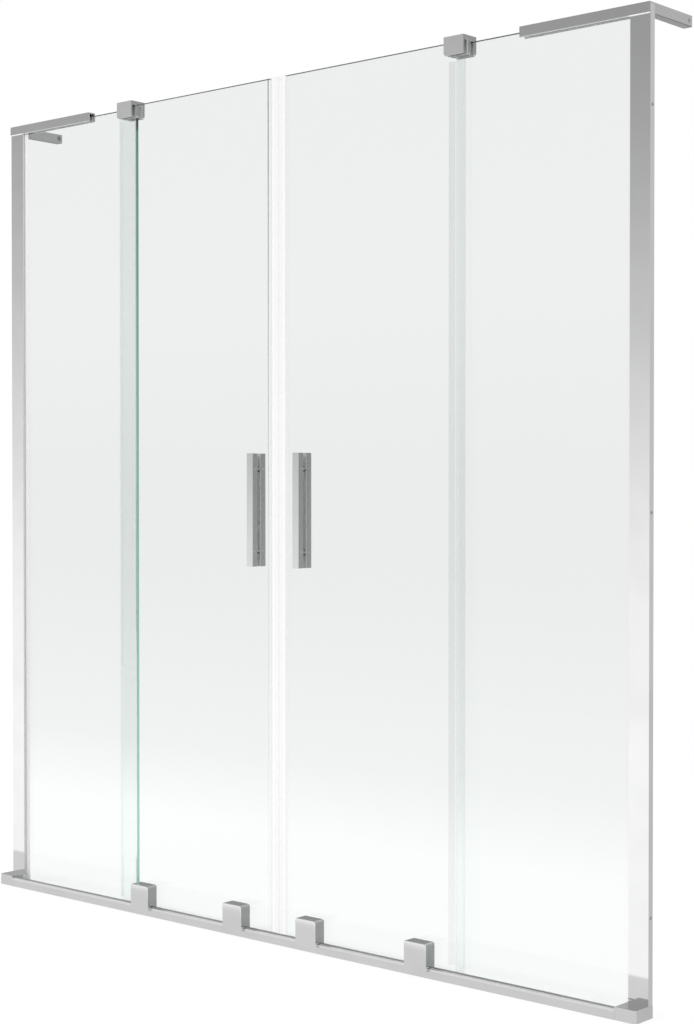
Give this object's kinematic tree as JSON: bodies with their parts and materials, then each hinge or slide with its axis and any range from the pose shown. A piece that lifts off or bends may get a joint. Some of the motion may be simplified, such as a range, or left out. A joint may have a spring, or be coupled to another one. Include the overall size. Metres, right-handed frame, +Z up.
{
  "type": "sliding bath screen",
  "caption": "Frameless sliding glass bath screen for a recess: fixed side panes, sliding panes that meet in the middle on bottom rollers, a low rail, slim wall profiles and top braces.",
  "frame": {"origin": "centre of the bottom rail's underside, on the bath rim, midway between the walls", "axes": "+X along the screen to the right as seen from the room, +Y over the bath, +Z up"},
  "size_m": [1.48, 0.156, 1.502],
  "materials": {
    "rail": "satin anodised",
    "rail_end": "bright",
    "profile": "polished",
    "brace": "polished",
    "guide": "bright",
    "glass": "clear toughened",
    "clear_seal": "clear",
    "magnet": "matt",
    "rubber": "matt",
    "nylon": "smooth",
    "handle": "bright",
    "cover": "bright",
    "carriage": "moulded",
    "steel": "brushed"
  },
  "bodies": {
    "frame": {"bottom_rail": "rail", "rail_end_left": "rail_end", "rail_end_right": "rail_end", "rail_end_pins": "steel", "door_stops": "rubber", "setting_blocks": "rubber", "wall_profile_left": "profile", "wall_profile_right": "profile", "glazing_gasket_left": "clear_seal", "glazing_gasket_right": "clear_seal", "fixed_glass_left": "glass", "fixed_glass_right": "glass", "edge_seal_left": "clear_seal", "edge_seal_right": "clear_seal", "top_brace_left": "brace", "top_brace_right": "brace", "brace_pads": "rubber", "brace_screws": "steel", "top_guide_left": "guide", "top_guide_right": "guide", "guide_liner_left": "nylon", "guide_liner_right": "nylon", "guide_pads": "rubber", "guide_screws": "steel"},
    "door_left": {"door_glass_left": "glass", "magnetic_seal_left": "clear_seal", "magnet_strip_left": "magnet", "fin_seal_left": "clear_seal", "drip_seal_left": "clear_seal", "handle_front_left": "handle", "handle_back_left": "handle", "handle_studs_left": "steel", "carriage_outer_left": "carriage", "carriage_inner_left": "carriage", "cover_outer_left": "cover", "cover_inner_left": "cover", "axles_left": "steel", "clamp_sets_left": "steel"},
    "door_right": {"door_glass_right": "glass", "magnetic_seal_right": "clear_seal", "magnet_strip_right": "magnet", "fin_seal_right": "clear_seal", "drip_seal_right": "clear_seal", "handle_front_right": "handle", "handle_back_right": "handle", "handle_studs_right": "steel", "carriage_outer_right": "carriage", "carriage_inner_right": "carriage", "cover_outer_right": "cover", "cover_inner_right": "cover", "axles_right": "steel", "clamp_sets_right": "steel"},
    "wheel_outer_left": {"roller_outer_left": "steel"},
    "wheel_inner_left": {"roller_inner_left": "steel"},
    "wheel_inner_right": {"roller_inner_right": "steel"},
    "wheel_outer_right": {"roller_outer_right": "steel"}
  },
  "joints": [
    {"name": "door_left_slide", "type": "slide", "parent": "frame", "child": "door_left", "axis": [-1, 0, 0], "range_m": [0, 0.29]},
    {"name": "door_right_slide", "type": "slide", "parent": "frame", "child": "door_right", "axis": [1, 0, 0], "range_m": [0, 0.29]},
    {"name": "roller_outer_left_spin", "type": "hinge", "parent": "door_left", "child": "wheel_outer_left", "pos_m": [-0.3265, -0.017, 0.028], "axis": [0, 1, 0], "range_deg": [-1718, 5]},
    {"name": "roller_outer_right_spin", "type": "hinge", "parent": "door_right", "child": "wheel_outer_right", "pos_m": [0.3265, -0.017, 0.028], "axis": [0, 1, 0], "range_deg": [-5, 1718]},
    {"name": "roller_inner_left_spin", "type": "hinge", "parent": "door_left", "child": "wheel_inner_left", "pos_m": [-0.0875, -0.017, 0.028], "axis": [0, 1, 0], "range_deg": [-1718, 5]},
    {"name": "roller_inner_right_spin", "type": "hinge", "parent": "door_right", "child": "wheel_inner_right", "pos_m": [0.0875, -0.017, 0.028], "axis": [0, 1, 0], "range_deg": [-5, 1718]}
  ],
  "couplings": [
    {"joint": "roller_outer_left_spin", "follows": "door_left_slide", "rad_per_m": -103.09},
    {"joint": "roller_outer_right_spin", "follows": "door_right_slide", "rad_per_m": 103.09},
    {"joint": "roller_inner_left_spin", "follows": "door_left_slide", "rad_per_m": -103.09},
    {"joint": "roller_inner_right_spin", "follows": "door_right_slide", "rad_per_m": 103.09}
  ]
}
